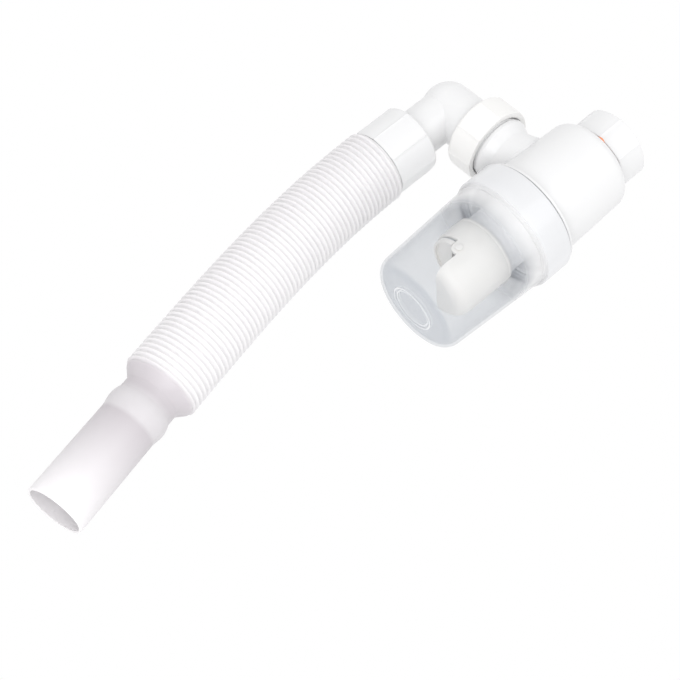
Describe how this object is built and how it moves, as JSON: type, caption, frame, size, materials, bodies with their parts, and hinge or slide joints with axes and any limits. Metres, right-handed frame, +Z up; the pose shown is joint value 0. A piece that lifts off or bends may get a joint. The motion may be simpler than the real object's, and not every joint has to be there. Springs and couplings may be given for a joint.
{
  "type": "basin bottle trap with waste hose",
  "caption": "Bottle trap with a translucent cup, an anti-odour flap core, a swivelling elbow and a corrugated waste hose with a smooth spigot.",
  "frame": {"origin": "centre of the inlet, level with the top face of the inlet seal, where the tail of the basin waste presses", "axes": "+Z up along the axis of the trap as installed; the branch leaves the body along -X, and the hose hangs down from the elbow"},
  "size_m": [0.1713, 0.0844, 0.4519],
  "materials": {
    "white_plastic": "satin moulded polypropylene",
    "hose_plastic": "satin blow-moulded polypropylene",
    "cream_plastic": "satin",
    "clear_plastic": "translucent, slightly milky",
    "orange_silicone": "matte silicone",
    "seal_rubber": "matte",
    "stainless_steel": "plain"
  },
  "bodies": {
    "trap": {"trap_body": "white_plastic", "dip_tube": "white_plastic", "inlet_washer": "orange_silicone", "inlet_seal": "seal_rubber", "valve_core": "cream_plastic", "core_ring": "seal_rubber", "flap_pin": "cream_plastic"},
    "inlet_nut": {"inlet_nut": "white_plastic"},
    "cup": {"trap_cup": "clear_plastic", "cup_seal": "seal_rubber"},
    "flap": {"flap": "cream_plastic", "flap_pad": "seal_rubber", "flap_weight": "stainless_steel"},
    "elbow": {"elbow": "white_plastic", "branch_seal": "seal_rubber", "hose_seal": "seal_rubber", "split_ring": "white_plastic"},
    "branch_nut": {"branch_nut": "white_plastic"},
    "hose_nut": {"hose_nut": "white_plastic"},
    "hose": {"hose": "hose_plastic"}
  },
  "joints": [
    {"name": "inlet_nut_spin", "type": "hinge", "parent": "trap", "child": "inlet_nut", "pos_m": [0, 0, 0], "axis": [0, 0, 1], "continuous": true},
    {"name": "cup_drop", "type": "slide", "parent": "trap", "child": "cup", "axis": [0, 0, -1], "range_m": [0, 0.025]},
    {"name": "flap_swing", "type": "hinge", "parent": "trap", "child": "flap", "pos_m": [0, 0, -0.1376], "axis": [0, -1, 0], "range_deg": [0, 50]},
    {"name": "elbow_swivel", "type": "hinge", "parent": "trap", "child": "elbow", "pos_m": [-0.0686, 0, -0.048], "axis": [1, 0, 0], "continuous": true},
    {"name": "branch_nut_spin", "type": "hinge", "parent": "elbow", "child": "branch_nut", "pos_m": [-0.0656, 0, -0.048], "axis": [1, 0, 0], "continuous": true},
    {"name": "hose_nut_spin", "type": "hinge", "parent": "elbow", "child": "hose_nut", "pos_m": [-0.1026, 0, -0.0995], "axis": [0, 0, 1], "continuous": true},
    {"name": "hose_swivel", "type": "hinge", "parent": "elbow", "child": "hose", "pos_m": [-0.1026, 0, -0.0965], "axis": [0, 0, 1], "continuous": true}
  ]
}
